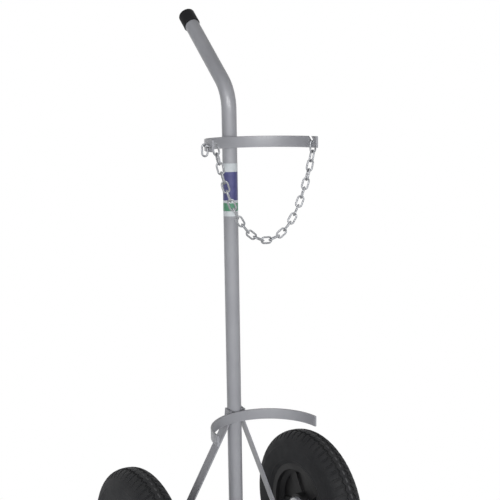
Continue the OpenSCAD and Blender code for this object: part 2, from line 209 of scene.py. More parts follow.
def blendColour(tree, mask, first, second):
    node = addNode(tree, "Mix", data_type="RGBA")
    feed(tree, node.inputs["Factor"], mask)
    for socket, colour in ((node.inputs[6], first), (node.inputs[7], second)):
        feed(tree, socket, colour if isinstance(colour, bpy.types.NodeSocket) else (*colour, 1.0))
    return node.outputs[2]


def spread(tree, mask, low, high):
    return calc(tree, "MULTIPLY_ADD", mask, high - low, low)


def newFinish(name):
    material = bpy.data.materials.new(name)
    material.use_nodes = True
    shader = material.node_tree.nodes["Principled BSDF"]
    return material, material.node_tree, shader


def relief(tree, shader, height, strength, distance):
    bump = addNode(tree, "Bump")
    bump.inputs["Strength"].default_value = strength
    bump.inputs["Distance"].default_value = distance
    feed(tree, bump.inputs["Height"], height)
    feed(tree, shader.inputs["Normal"], bump.outputs["Normal"])


def coatedFinish(name, look):
    material, tree, shader = newFinish(name)
    patches = useGroup(tree, mottle, "Mask", Scale=look["patchScale"], Contrast=patchContrast)
    colour = blendColour(tree, patches, look["dark"], look["light"])
    worn = useGroup(tree, edgeWear, "Mask", Radius=look["wearRadius"], Break_Scale=look["wearScale"])
    colour = blendColour(tree, calc(tree, "MULTIPLY", worn, look["wear"]), colour, look["wearColour"])
    film = useGroup(tree, dust, "Mask", Amount=look["dust"], Scale=look["dustScale"])
    colour = blendColour(tree, film, colour, look["dustColour"])
    feed(tree, shader.inputs["Base Color"], colour)
    feed(tree, shader.inputs["Roughness"], spread(tree, patches, *look["roughness"]))
    shader.inputs["Metallic"].default_value = look["metallic"]
    shader.inputs["Specular IOR Level"].default_value = look["specular"]
    grain = useGroup(tree, surfaceGrain, "Height", Scale=look["grainScale"], Coarse_Share=look["coarse"])
    relief(tree, shader, grain, look["grainStrength"], look["grainDepth"])
    return material


paintLook = {
    "dark": (0.287, 0.291, 0.316), "light": (0.328, 0.333, 0.358), "patchScale": 14.0,
    "wear": 0.5, "wearRadius": 0.0012, "wearScale": 160.0, "wearColour": (0.19, 0.19, 0.2),
    "dust": 0.12, "dustScale": 45.0, "dustColour": (0.42, 0.41, 0.4),
    "roughness": (0.34, 0.42), "metallic": 0.0, "specular": 0.5,
    "grainScale": 700.0, "coarse": 0.5, "grainStrength": 0.04, "grainDepth": 0.0002,
}
capLook = {
    "dark": (0.006, 0.006, 0.007), "light": (0.01, 0.01, 0.011), "patchScale": 60.0,
    "wear": 0.35, "wearRadius": 0.001, "wearScale": 240.0, "wearColour": (0.03, 0.03, 0.031),
    "dust": 0.04, "dustScale": 140.0, "dustColour": (0.06, 0.058, 0.055),
    "roughness": (0.5, 0.68), "metallic": 0.0, "specular": 0.12,
    "grainScale": 1800.0, "coarse": 0.4, "grainStrength": 0.18, "grainDepth": 0.0003,
}
tyreLook = {
    "dark": (0.0078, 0.0082, 0.0096), "light": (0.0122, 0.0128, 0.0146), "patchScale": 30.0,
    "wear": 0.6, "wearRadius": 0.0015, "wearScale": 120.0, "wearColour": (0.045, 0.045, 0.046),
    "dust": 0.1, "dustScale": 40.0, "dustColour": (0.09, 0.087, 0.082),
    "roughness": (0.66, 0.85), "metallic": 0.0, "specular": 0.3,
    "grainScale": 1100.0, "coarse": 0.8, "grainStrength": 0.25, "grainDepth": 0.0005,
}
crownSheenLook = {  # painted highlight: pale marks on the crown that stand for the sheen on the lug tops
    **tyreLook, "dark": (0.07, 0.071, 0.074), "light": (0.1, 0.101, 0.105), "patchScale": 90.0,
    "wearColour": (0.07, 0.07, 0.071),
}
rimLook = {
    "dark": (0.006, 0.006, 0.0065), "light": (0.01, 0.01, 0.011), "patchScale": 22.0,
    "wear": 0.5, "wearRadius": 0.0015, "wearScale": 150.0, "wearColour": (0.035, 0.035, 0.036),
    "dust": 0.05, "dustScale": 60.0, "dustColour": (0.12, 0.115, 0.11),
    "roughness": (0.42, 0.58), "metallic": 0.0, "specular": 0.25,
    "grainScale": 1300.0, "coarse": 0.5, "grainStrength": 0.16, "grainDepth": 0.0004,
}
zincLook = {
    "dark": (0.25, 0.256, 0.27), "light": (0.36, 0.367, 0.383), "patchScale": 130.0,
    "wear": 0.5, "wearRadius": 0.0006, "wearScale": 300.0, "wearColour": (0.13, 0.13, 0.135),
    "dust": 0.1, "dustScale": 200.0, "dustColour": (0.2, 0.195, 0.19),
    "roughness": (0.54, 0.68), "metallic": 1.0, "specular": 0.5,
    "grainScale": 1500.0, "coarse": 0.9, "grainStrength": 0.14, "grainDepth": 0.0003,
}
steelLook = {
    "dark": (0.45, 0.45, 0.45), "light": (0.58, 0.58, 0.575), "patchScale": 90.0,
    "wear": 0.3, "wearRadius": 0.0006, "wearScale": 260.0, "wearColour": (0.32, 0.32, 0.31),
    "dust": 0.06, "dustScale": 120.0, "dustColour": (0.3, 0.29, 0.28),
    "roughness": (0.2, 0.34), "metallic": 1.0, "specular": 0.5,
    "grainScale": 2200.0, "coarse": 0.5, "grainStrength": 0.1, "grainDepth": 0.0002,
}
greyPaint = coatedFinish("greyPaint", paintLook)
blackCap = coatedFinish("blackCap", capLook)
tyreRubber = coatedFinish("tyreRubber", tyreLook)
crownSheenPaint = coatedFinish("crownSheenPaint", crownSheenLook)
blackRim = coatedFinish("blackRim", rimLook)
zincPlate = coatedFinish("zincPlate", zincLook)
groundSteel = coatedFinish("groundSteel", steelLook)

vinylLook = {
    "patchScale": 90.0, "contrast": 0.35, "roughness": (0.28, 0.42),
    "wearRadius": 0.0008, "wearScale": 400.0, "wearColour": (0.45, 0.45, 0.46),
    "grainScale": 500.0, "coarse": 0.9, "grainStrength": 0.08, "grainDepth": 0.0003,
}


def printedVinyl(name, dark, light):
    look = vinylLook
    material, tree, shader = newFinish(name)
    patches = useGroup(tree, mottle, "Mask", Scale=look["patchScale"], Contrast=look["contrast"])
    worn = useGroup(tree, edgeWear, "Mask", Radius=look["wearRadius"], Break_Scale=look["wearScale"])
    colour = blendColour(tree, patches, dark, light)
    feed(tree, shader.inputs["Base Color"], blendColour(tree, worn, colour, look["wearColour"]))
    feed(tree, shader.inputs["Roughness"], spread(tree, patches, *look["roughness"]))
    grain = useGroup(tree, surfaceGrain, "Height", Scale=look["grainScale"], Coarse_Share=look["coarse"])
    relief(tree, shader, grain, look["grainStrength"], look["grainDepth"])
    return material


labelGround = printedVinyl("labelGround", (0.5, 0.54, 0.56), (0.6, 0.63, 0.66))
labelBlue = printedVinyl("labelBlue", (0.04, 0.042, 0.15), (0.06, 0.062, 0.2))
labelGreen = printedVinyl("labelGreen", (0.05, 0.2, 0.11), (0.085, 0.28, 0.16))
print("finishes made:", len(bpy.data.materials))


# mesh helpers
usualSharp = 35  # degrees between faces from which an edge is sharp


def newPiece(name, verts, faces, finish, sharpAngle=usualSharp):
    mesh = bpy.data.meshes.new(name)
    mesh.from_pydata([tuple(v) for v in verts], [], faces)
    edit = bmesh.new()
    edit.from_mesh(mesh)
    bmesh.ops.recalc_face_normals(edit, faces=edit.faces)
    edit.to_mesh(mesh)
    edit.free()
    mesh.shade_smooth()
    mesh.set_sharp_from_angle(angle=math.radians(sharpAngle))
    mesh.materials.append(finish)
    piece = bpy.data.objects.new(name, mesh)
    scene.collection.objects.link(piece)
    return piece


def ringFaces(rings, loop, first=0):
    count = len(rings[0])
    faces = []
    for i in range(len(rings) if loop else len(rings) - 1):
        a = first + i * count
        b = first + (i + 1) % len(rings) * count
        for j in range(count):
            k = (j + 1) % count
            faces.append((a + j, a + k, b + k, b + j))
    if not loop:
        last = first + (len(rings) - 1) * count
        faces.append(tuple(range(first, first + count)))
        faces.append(tuple(range(last, last + count)))
    return faces


def ringPiece(name, rings, finish, loop=False, sharpAngle=usualSharp):
    verts = [p for ring in rings for p in ring]
    return newPiece(name, verts, ringFaces(rings, loop), finish, sharpAngle)


def circlePoints(radius, count):
    turn = 2 * math.pi / count
    return [(radius * math.cos(i * turn), radius * math.sin(i * turn)) for i in range(count)]


def barSection(width, height, corner, steps=4):  # rectangle with rounded corners
    points = []
    for k, (sx, sy) in enumerate(((1, 1), (-1, 1), (-1, -1), (1, -1))):
        cx = sx * (width / 2 - corner)
        cy = sy * (height / 2 - corner)
        for i in range(steps + 1):
            a = math.radians(90 * k + 90 * i / steps)
            points.append((cx + corner * math.cos(a), cy + corner * math.sin(a)))
    return points


def settle(piece, body, slot, *replaced):
    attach(piece, body)
    if replaced:
        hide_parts(*replaced)
    return piece


def cutWith(piece, cutter):
    change = piece.modifiers.new("cut", "BOOLEAN")
    change.operation = "DIFFERENCE"
    change.solver = "EXACT"
    change.object = cutter
    graph = bpy.context.evaluated_depsgraph_get()
    mesh = bpy.data.meshes.new_from_object(piece.evaluated_get(graph))
    piece.modifiers.clear()
    piece.data = mesh
    bpy.data.objects.remove(cutter)
    mesh.shade_smooth()
    mesh.set_sharp_from_angle(angle=math.radians(usualSharp))


# sizes that the frame gives
tubeLow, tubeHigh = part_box("spine_tube")
tubeRadius = tubeHigh.x
tubeY = tubeLow.y + tubeRadius
upperLow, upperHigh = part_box("upper_band")
lowerLow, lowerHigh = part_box("lower_band")
upperMiddle = (upperLow.z + upperHigh.z) / 2
lowerMiddle = (lowerLow.z + lowerHigh.z) / 2
beamLow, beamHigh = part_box("axle_beam")
beamRadius = (beamHigh.z - beamLow.z) / 2
axleY = (beamLow.y + beamHigh.y) / 2
axleZ = (beamLow.z + beamHigh.z) / 2

# the one bent tube
spine = {
    "bendAbove": 0.110,  # corner of the bend above the upper band's middle
    "bendAngle": 46.0,
    "bendRadius": 0.095,
    "handle": 0.253,  # corner to cut end
    "wall": 0.0026,
    "flatten": 0.05,  # the tube goes a little oval in its bend
    "around": 72,
    "straightSteps": 24,
    "bendSteps": 40,
}
bendCorner = upperMiddle + spine["bendAbove"]


def handleEnd():
    a = math.radians(spine["bendAngle"])
    along = Vector((0, math.sin(a), math.cos(a)))
    return Vector((0, tubeY, bendCorner)) + along * spine["handle"], along


def makeSpine():
    a = math.radians(spine["bendAngle"])
    take = spine["bendRadius"] * math.tan(a / 2)
    lowEnd = bendCorner - take
    heights = np.linspace(tubeLow.z, lowEnd, spine["straightSteps"])
    path = [(Vector((0, tubeY, z)), 0.0) for z in heights]
    for i in range(1, spine["bendSteps"] + 1):
        t = a * i / spine["bendSteps"]
        y = tubeY + spine["bendRadius"] * (1 - math.cos(t))
        path.append((Vector((0, y, lowEnd + spine["bendRadius"] * math.sin(t))), t))
    path.append((handleEnd()[0], a))
    rings = []
    for radius, stations in ((tubeRadius, path), (tubeRadius - spine["wall"], path[::-1])):
        section = circlePoints(radius, spine["around"])
        for point, t in stations:
            oval = spine["flatten"] * math.sin(math.pi * t / a)
            back = Vector((0, math.cos(t), -math.sin(t))) * (1 - oval)
            wide = Vector((1 + oval / 2, 0, 0))
            rings.append([point + wide * x + back * y for x, y in section])
    piece = ringPiece("spine_tube_skin", rings, greyPaint, loop=True)
    settle(piece, "frame", "grey_paint", "spine_tube")


# push-on cap with a rounded end and a moulded lip
cap = {
    "radius": 0.0191,
    "bore": 0.0169,
    "skirt": 0.033,  # length over the tube
    "floor": 0.0001,  # gap to the tube's cut end
    "end": 0.004,
    "round": 0.0036,
    "roundStep": 10,  # degrees
    "lip": 0.0004,
    "lipSink": 0.0002,
    "lipHeight": 0.0022,
    "lipRunOut": 1.6,  # lip heights from the skirt's edge to the plain wall
    "lipStep": 30,  # degrees
    "around": 72,
    "sharpAngle": 50,
    "merge": 1e-6,
    "sliver": 1e-7,
}


def makeCap():
    end, along = handleEnd()
    profile = [(0.0, cap["floor"]), (cap["bore"], cap["floor"]), (cap["bore"], -cap["skirt"])]
    lipMiddle = -cap["skirt"] + cap["lipHeight"] / 2
    for angle in range(-90, 91, cap["lipStep"]):
        a = math.radians(angle)
        radius = cap["radius"] - cap["lipSink"] + cap["lip"] * math.cos(a)
        profile.append((radius, lipMiddle + cap["lipHeight"] / 2 * math.sin(a)))
    profile.append((cap["radius"], -cap["skirt"] + cap["lipHeight"] * cap["lipRunOut"]))
    for angle in range(0, 91, cap["roundStep"]):
        a = math.radians(angle)
        radius = cap["radius"] - cap["round"] * (1 - math.cos(a))
        profile.append((radius, cap["end"] - cap["round"] * (1 - math.sin(a))))
    profile.append((0.0, cap["end"]))
    across = Vector((1, 0, 0))
    back = along.cross(across)
    verts, faces = [], []
    count = cap["around"]
    for i in range(count):
        a = 2 * math.pi * i / count
        out = across * math.cos(a) + back * math.sin(a)
        verts += [end + out * r + along * h for r, h in profile]
    rows = len(profile)
    for i in range(count):
        for j in range(rows - 1):
            a = i * rows + j
            b = (i + 1) % count * rows + j
            faces.append((a, b, b + 1, a + 1))
    piece = newPiece("grip_cap_moulding", verts, faces, blackCap, cap["sharpAngle"])
    edit = bmesh.new()
    edit.from_mesh(piece.data)
    # the lathed shape closes on its axis
    bmesh.ops.remove_doubles(edit, verts=edit.verts, dist=cap["merge"])
    bmesh.ops.dissolve_degenerate(edit, edges=edit.edges, dist=cap["sliver"])
    bmesh.ops.recalc_face_normals(edit, faces=edit.faces)
    edit.to_mesh(piece.data)
    edit.free()
    settle(piece, "frame", "cap_plastic", "grip_cap")


# rolled flat bars of the cradle
bar = {
    "thickness": 0.005,
    "height": 0.025,
    "corner": 0.0011,
    "steps": 150,
    "upperSpan": (-89.0, 95.0),  # degrees to the left and right of the tube
    "lowerSpan": (-87.0, 92.0),
}
hook = {
    "slotY": 0.0058,
    "slotWidth": 0.0095,
    "slotSlant": 42.0,  # degrees from the vertical
    "slotFoot": 0.0032,  # above the band's middle
    "holeY": 0.0175,
    "holeRadius": 0.0025,
    "holeHalf": 0.0065,
    "cut": 0.02,  # how far a cutter goes through the bar
    "arcSteps": 12,
}


def arcBar(name, middleZ, span):
    radius = upperHigh.y - bar["thickness"] / 2
    section = barSection(bar["thickness"], bar["height"], bar["corner"])
    rings = []
    for angle in np.linspace(*span, bar["steps"] + 1):
        a = math.radians(angle)
        out = Vector((math.sin(a), math.cos(a), 0))
        rings.append([out * (radius + w) + Vector((0, 0, middleZ + h)) for w, h in section])
    return ringPiece(name, rings, greyPaint)


def stadiumCutter(name, middle, direction, radius, length):
    side = Vector((0, direction.z, -direction.y))
    steps = hook["arcSteps"]
    ring = []
    for k, far in enumerate((0.0, length)):
        for i in range(steps + 1):
            a = math.pi * (1 + k + i / steps)
            out = side * math.cos(a) + direction * math.sin(a)
            ring.append(middle + direction * far + out * radius)
    reach = Vector((hook["cut"] / 2, 0, 0))
    return ringPiece(name, [[p - reach for p in ring], [p + reach for p in ring]], greyPaint)


def makeBands():
    radius = upperHigh.y - bar["thickness"] / 2
    upper = arcBar("upper_band_bar", upperMiddle, bar["upperSpan"])
    slant = math.radians(hook["slotSlant"])
    slotWay = Vector((0, math.sin(slant), math.cos(slant)))
    slotX = math.sqrt(radius ** 2 - hook["slotY"] ** 2)
    slotFoot = Vector((slotX, hook["slotY"], upperMiddle + hook["slotFoot"]))
    slot = stadiumCutter("slotCutter", slotFoot, slotWay, hook["slotWidth"] / 2, 2 * bar["height"])
    cutWith(upper, slot)
    holeX = -math.sqrt(radius ** 2 - hook["holeY"] ** 2)
    holeStart = Vector((holeX, hook["holeY"] - hook["holeHalf"], upperMiddle))
    level = Vector((0, 1, 0))
    hole = stadiumCutter("holeCutter", holeStart, level, hook["holeRadius"], 2 * hook["holeHalf"])
    cutWith(upper, hole)
    settle(upper, "frame", "grey_paint", "upper_band")
    lower = arcBar("lower_band_bar", lowerMiddle, bar["lowerSpan"])
    settle(lower, "frame", "grey_paint", "lower_band")


# round-wire links with the lump of their butt weld
link = {
    "wire": 0.002,  # radius
    "bend": 0.0065,
    "straight": 0.0118,
    "around": 16,
    "arcSteps": 18,
    "sideSteps": 12,
    "lump": 0.00032,
    "lumpLength": 0.0016,
    "level": 1e-6,  # a link whose axis rises less than this lies flat
}


def linkFrame(node):  # middle and axes of a link, from its own surface
    mesh = nodes[node].data
    mesh.calc_loop_triangles()
    points = np.array([v.co for v in mesh.vertices])
    corners = points[np.array([t.vertices for t in mesh.loop_triangles])]
    first = corners[:, 1] - corners[:, 0]
    second = corners[:, 2] - corners[:, 0]
    area = np.linalg.norm(np.cross(first, second), axis=1) / 2
    middles = corners.mean(1)
    centre = (middles * area[:, None]).sum(0) / area.sum()
    offsets = corners - middles[:, None]
    # second moments of each triangle about its own middle
    ownSpread = np.einsum("tki,tkj->tij", offsets, offsets) / 12
    fromCentre = middles - centre
    moments = ownSpread + np.einsum("ti,tj->tij", fromCentre, fromCentre)
    axes = np.linalg.eigh((moments * area[:, None, None]).sum(0))[1]
    long = Vector(axes[:, 2])
    flatLying = abs(long.z) <= link["level"]
    if (flatLying and long.x < 0) or long.z < -link["level"]:
        long = -long
    flat = Vector(axes[:, 0])
    return Vector(centre), long, long.cross(flat), flat


def makeLink(node, body):
    centre, long, wide, flat = linkFrame(node)
    half = link["straight"] / 2
    path = []
    for k in (1, -1):
        for i in range(link["sideSteps"]):
            z = half * k * (2 * i / link["sideSteps"] - 1)
            lump = link["lump"] * math.exp(-(z / link["lumpLength"]) ** 2) if k == 1 else 0.0
            path.append((k * link["bend"], z, 0.0 if k == 1 else math.pi, lump))
        for i in range(link["arcSteps"]):
            a = math.pi * i / link["arcSteps"] + (0 if k == 1 else math.pi)
            path.append((link["bend"] * math.cos(a), k * half + link["bend"] * math.sin(a), a, 0.0))
    rings = []
    for x, z, a, lump in path:
        out = wide * math.cos(a) + long * math.sin(a)
        middle = centre + wide * x + long * z
        section = circlePoints(link["wire"] + lump, link["around"])
        rings.append([middle + out * u + flat * v for u, v in section])
    piece = ringPiece(node + "_wire", rings, zincPlate, loop=True)
    settle(piece, body, "zinc", node)


def makeChain():
    for body, members in frame["record"]["behaviour"]["bodies"].items():
        for node in members:
            if "link" in node:
                makeLink(node, body)


# pneumatic tyres: sawtooth grooves beside the middle rib and lugs on the shoulders
tyre = {
    "radius": 0.195,
    "halfWidth": 0.042,
    "halfDepth": 0.050,
    "squareness": 0.8,
    "wall": 0.008,
    "flangeRadius": 0.11325,
    "flangeInside": 0.0315,
    "beadRadius": 0.10185,
    "beadWidth": 0.0095,
    "lugs": 61,
    "lugDepth": 0.0028,
    "lugFade": 0.65,  # share of that depth that is gone at the sidewall
    "lugEnd": 0.178,
    "skew": 0.35,  # slant of the lugs, in pitches
    "grooveInside": 0.005,
    "grooveOutside": 0.0105,
    "grooveDepth": 0.0032,
    "tooth": 0.0055,  # how far the groove goes from side to side
    "toothRise": 0.3,
    "wallSlope": 0.004,  # radians of the section that a groove's side takes
    "sheenPadSteps": (0, 1, 2, 3),  # sections of a pitch in which the crown is painted pale, a painted highlight for the sheen on the lug tops
    "lugRunOut": (5, 15),  # groove slopes from a lug's end to its foot and to the plain wall
    "sidewallFrom": 45.0,  # degrees from the crown
    "ribRadii": (0.1605, 0.1235),
    "ribHeight": 0.0008,
    "ribWidth": 0.0011,
    "crownRows": 4,
    "lugRows": 12,
    "wallRows": 44,
    "innerRows": 14,
    "sharpAngle": 30,
}
lugSteps = (  # share of a pitch, and how much of a lug's gap is cut there
    (0.0, 0.0), (0.15, 0.0), (0.3, 0.0), (0.45, 0.0),
    (0.58, 0.0), (0.64, 1.0), (0.74, 1.0), (0.87, 0.5),
)


def tyrePoint(angle, inset):  # angle from the crown, 90 degrees is the middle of the sidewall
    power = tyre["squareness"]
    s, c = math.sin(angle), math.cos(angle)
    x = (tyre["halfWidth"] - inset) * math.copysign(abs(s) ** power, s)
    rise = (tyre["halfDepth"] - inset) * math.copysign(abs(c) ** power, c)
    return x, tyre["radius"] - tyre["halfDepth"] + rise


def crownAngle(x):
    return math.asin((x / tyre["halfWidth"]) ** (1 / tyre["squareness"]))


def radiusAngle(radius):
    share = (radius - tyre["radius"] + tyre["halfDepth"]) / tyre["halfDepth"]
    return math.acos(math.copysign(abs(share) ** (1 / tyre["squareness"]), share))


def treadRows(shift, cut):  # angle from the crown and depth under the plain casing
    slope = tyre["wallSlope"]
    inside = crownAngle(tyre["grooveInside"] + shift)
    outside = crownAngle(tyre["grooveOutside"] + shift)
    lugEnd = radiusAngle(tyre["lugEnd"])
    rows = [(a, 0.0) for a in np.linspace(0.0, inside - slope, tyre["crownRows"])]
    rows += [(inside + slope, tyre["grooveDepth"]), (outside - slope, tyre["grooveDepth"])]
    for share in np.linspace(0.0, 1.0, tyre["lugRows"]):
        depth = tyre["lugDepth"] * cut * (1 - tyre["lugFade"] * share ** 2)
        rows.append((outside + slope + (lugEnd - outside - slope) * share, depth))
    lugFoot, wallStart = (lugEnd + count * slope for count in tyre["lugRunOut"])
    rows.append((lugFoot, 0.0))
    wall = np.linspace(wallStart, radiusAngle(tyre["flangeRadius"]), tyre["wallRows"])
    return rows + [(a, 0.0) for a in wall]


def sidewallRibs(radius):
    offsets = [(radius - at) / tyre["ribWidth"] for at in tyre["ribRadii"]]
    return sum(tyre["ribHeight"] * math.exp(-(offset ** 2)) for offset in offsets)


def tyreHalf(step, cut):  # from the crown round the sidewall and bead to the inside
    rise = tyre["toothRise"]
    zigzag = step / rise if step < rise else (1 - step) / (1 - rise)
    pitch = 2 * math.pi / tyre["lugs"]
    points = []
    for a, depth in treadRows(tyre["tooth"] * zigzag, cut):
        x, r = tyrePoint(a, 0.0)
        if a > math.radians(tyre["sidewallFrom"]):
            depth -= sidewallRibs(r)
        turn = pitch * tyre["skew"] * min(x / tyre["halfWidth"], 1.0)
        points.append((*tyrePoint(a, depth), turn))
    seatX = tyre["flangeInside"] - tyre["beadWidth"]
    seat = [
        (tyre["flangeInside"], tyre["flangeRadius"]),
        (tyre["flangeInside"], tyre["beadRadius"]),
        (seatX, tyre["beadRadius"]),
    ]
    points += [(x, r, pitch * tyre["skew"]) for x, r in seat]
    share = seatX / (tyre["halfWidth"] - tyre["wall"])
    innerEnd = math.pi - math.asin(share ** (1 / tyre["squareness"]))
    inner = np.linspace(innerEnd, 0.0, tyre["innerRows"])
    return points + [(*tyrePoint(a, tyre["wall"]), 0.0) for a in inner]


def makeTyre(side):
    low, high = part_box(side + "_tyre")
    centreX = (low.x + high.x) / 2
    sections = []
    for step, cut in lugSteps:
        half = tyreHalf(step, cut)
        sections.append((step, half + [(-x, r, turn) for x, r, turn in half[-2:0:-1]]))
    pitch = 2 * math.pi / tyre["lugs"]
    rings = []
    for n in range(tyre["lugs"]):
        for step, points in sections:
            ring = []
            for x, r, turn in points:
                a = pitch * (n + step) + turn
                ring.append(Vector((centreX + x, axleY + r * math.cos(a), axleZ + r * math.sin(a))))
            rings.append(ring)
    piece = ringPiece(side + "_tyre_casing", rings, tyreRubber, True, tyre["sharpAngle"])
    # painted highlight: crown faces in the chosen sections of each pitch get the pale finish in place of
    # lug-top sheen
    piece.data.materials.append(crownSheenPaint)
    besideCrown = list(piece.data.polygons)[::len(rings[0])]  # one face of each ring
    for index, face in enumerate(besideCrown):
        if index % len(lugSteps) in tyre["sheenPadSteps"]:
            face.material_index = 1
    settle(piece, side + "_wheel", "tyre_rubber", side + "_tyre")


# weld beads with the ripples of the torch
bead = {
    "radius": 0.0026,
    "ripple": 0.00035,
    "pitch": 0.0028,
    "perPitch": 4,
    "fewest": 6,
    "around": 12,
    "taper": 0.003,  # length over which an open end swells
    "blunt": 0.45,  # share of the radius at an open end
    "steep": 0.9,  # rise from which a run counts as upright
    "slack": 1e-9,
    "sharpAngle": 60,
    "reach": 0.5,  # share of the tube's radius at which a seam beside it lies
    "bandInset": 0.002,
    "crossGap": 0.0024,  # gap between the two tubes that the seam fills
    "crossSteps": 48,
    "halvings": 30,
    "footArc": (-168, -12),
    "footSteps": 30,
    "gussetInset": 0.004,
    "gussetLift": 0.006,
    "braceRun": (0.02, 0.003),  # start and end below the brace's top
}


def endTaper(fromEnd):
    if fromEnd >= bead["taper"]:
        return 1.0
    rise = math.sin(math.pi / 2 * fromEnd / bead["taper"])
    return bead["blunt"] + (1 - bead["blunt"]) * rise


def beadRings(points, closed):
    points = [Vector(p) for p in points]
    lengths = [0.0]
    for a, b in zip(points, points[1:] + points[:1]):
        lengths.append(lengths[-1] + (b - a).length)
    total = lengths[-1] if closed else lengths[-2]
    count = max(bead["fewest"], round(total / bead["pitch"] * bead["perPitch"]))
    up = Vector((0, 0, 1))
    rings = []
    for i in range(count + (0 if closed else 1)):
        at = total * i / count
        k = max(j for j in range(len(points)) if lengths[j] <= at + bead["slack"])
        k = k if closed else min(k, len(points) - 2)
        a, b = points[k], points[(k + 1) % len(points)]
        along = (b - a).normalized()
        middle = a + (b - a) * ((at - lengths[k]) / (lengths[k + 1] - lengths[k]))
        upright = abs(along.z) > bead["steep"]
        side = (along.orthogonal() if upright else along.cross(up)).normalized()
        over = along.cross(side)
        swell = 1.0 if closed else endTaper(min(at, total - at))
        ripple = bead["ripple"] * math.sin(2 * math.pi * at / bead["pitch"])
        section = circlePoints((bead["radius"] + ripple) * swell, bead["around"])
        rings.append([middle + side * x + over * y for x, y in section])
    return rings


def makeWelds(name, runs):
    verts, faces = [], []
    for points, closed in runs:
        rings = beadRings(points, closed)
        faces += ringFaces(rings, closed, len(verts))
        verts += [p for ring in rings for p in ring]
    settle(newPiece(name, verts, faces, greyPaint, bead["sharpAngle"]), "frame", "grey_paint")


def alongLine(a, b, steps=8):
    a, b = Vector(a), Vector(b)
    return [a + (b - a) * i / steps for i in range(steps + 1)]


def bandWelds(low, high):
    x = tubeRadius * bead["reach"]
    y = (tubeY - math.sqrt(tubeRadius ** 2 - x ** 2) + math.sqrt(high.y ** 2 - x ** 2)) / 2
    foot = low.z + bead["bandInset"]
    head = high.z - bead["bandInset"]
    return [(alongLine((s * x, y, foot), (s * x, y, head)), False) for s in (-1, 1)]


def beamWeld():  # closed seam round the place where the cross tube touches the spine tube
    points = []
    gap = bead["crossGap"]
    for i in range(bead["crossSteps"]):
        a = 2 * math.pi * i / bead["crossSteps"]
        low, high = 0.0, beamRadius
        for halving in range(bead["halvings"]):
            reach = (low + high) / 2
            dx, dz = reach * math.cos(a), reach * math.sin(a)
            tubeBack = tubeY + math.sqrt(tubeRadius ** 2 - dx ** 2)
            beamFront = axleY - math.sqrt(beamRadius ** 2 - dz ** 2)
            low, high = (reach, high) if beamFront - tubeBack < gap else (low, reach)
        points.append((dx, tubeBack + gap / 2, axleZ + dz))
    return [(points, True)]


def footWelds():
    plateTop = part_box("toe_plate")[1].z
    arc = np.radians(np.linspace(*bead["footArc"], bead["footSteps"]))
    ring = [(tubeRadius * math.cos(a), tubeY + tubeRadius * math.sin(a), plateTop) for a in arc]
    runs = [(ring, False)]
    for side in sides:
        low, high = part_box(side + "_gusset")
        inner, outer = (low.x, high.x) if side == "right" else (high.x, low.x)
        away = math.copysign(bead["gussetInset"], outer - inner)
        start = (inner + away, low.y, plateTop)
        runs.append((alongLine(start, (outer - away, low.y, plateTop)), False))
        foot = plateTop + bead["gussetLift"]
        head = high.z - bead["gussetInset"]
        for y in (low.y, high.y):
            runs.append((alongLine((inner, y, foot), (inner, y, head)), False))
    return runs


def braceWelds():
    y = tubeRadius * bead["reach"]
    x = (math.sqrt(tubeRadius ** 2 - y ** 2) + tubeRadius) / 2
    runs = []
    for side, s in zip(sides, (-1, 1)):
        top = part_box(side + "_brace")[1].z
        foot, head = (top - down for down in bead["braceRun"])
        for k in (-1, 1):
            at = (s * x, tubeY + k * y)
            runs.append((alongLine((*at, foot), (*at, head)), False))
    return runs


makeSpine()
makeCap()
makeBands()
print("tube, cap and bands made")
makeChain()
print("chain made")
for side in sides:
    makeTyre(side)
print("tyres made")
makeWelds("upper_band_welds", bandWelds(upperLow, upperHigh))
makeWelds("lower_band_welds", bandWelds(lowerLow, lowerHigh))
makeWelds("cross_tube_weld", beamWeld())
makeWelds("foot_welds", footWelds())
makeWelds("brace_welds", braceWelds())
print("welds made")

# plain sticker on the tube: bands of colour without words
sticker = {
    "bottom": 0.964,
    "top": 1.083,
    "from": -128.0,  # degrees round the tube from its front
    "to": 66.0,
    "thickness": 0.0002,
    "lift": 0.00002,
    "corner": 0.004,
    "cornerStep": 15,  # degrees
    "columns": 40,
    "rows": 13,
    "blue": (0.036, 0.1),  # above the sticker's bottom
    "green": (0.012, 0.03),
}


def makeSticker():
    height = sticker["top"] - sticker["bottom"]
    corner = sticker["corner"]
    levels = [0.0, *sticker["green"], *sticker["blue"], height]
    levels += list(np.linspace(0, height, sticker["rows"]))
    for angle in range(0, 91, sticker["cornerStep"]):
        end = corner * (1 - math.cos(math.radians(angle)))
        levels += [end, height - end]
    rings = []
    for v in sorted({round(float(level), 6) for level in levels}):
        inCorner = max(0.0, corner - min(v, height - v))
        cut = corner - math.sqrt(max(0.0, corner ** 2 - inCorner ** 2))
        trim = math.degrees(cut / tubeRadius)
        first = sticker["from"] + trim
        last = sticker["to"] - trim
        angles = np.radians(np.linspace(first, last, sticker["columns"]))
        ring = []
        for lift, order in ((sticker["thickness"], angles), (sticker["lift"], angles[::-1])):
            r = tubeRadius + lift
            ring += [(r * math.sin(a), tubeY - r * math.cos(a), sticker["bottom"] + v) for a in order]
        rings.append([Vector(p) for p in ring])
    piece = ringPiece("plain_sticker", rings, labelGround)
    piece.data.materials.append(labelBlue)
    piece.data.materials.append(labelGreen)
    for face in piece.data.polygons:
        v = face.center.z - sticker["bottom"]
        for index, key in ((1, "blue"), (2, "green")):
            if sticker[key][0] < v < sticker[key][1]:
                face.material_index = index
    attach(piece, "frame")


makeSticker()
print("sticker made")

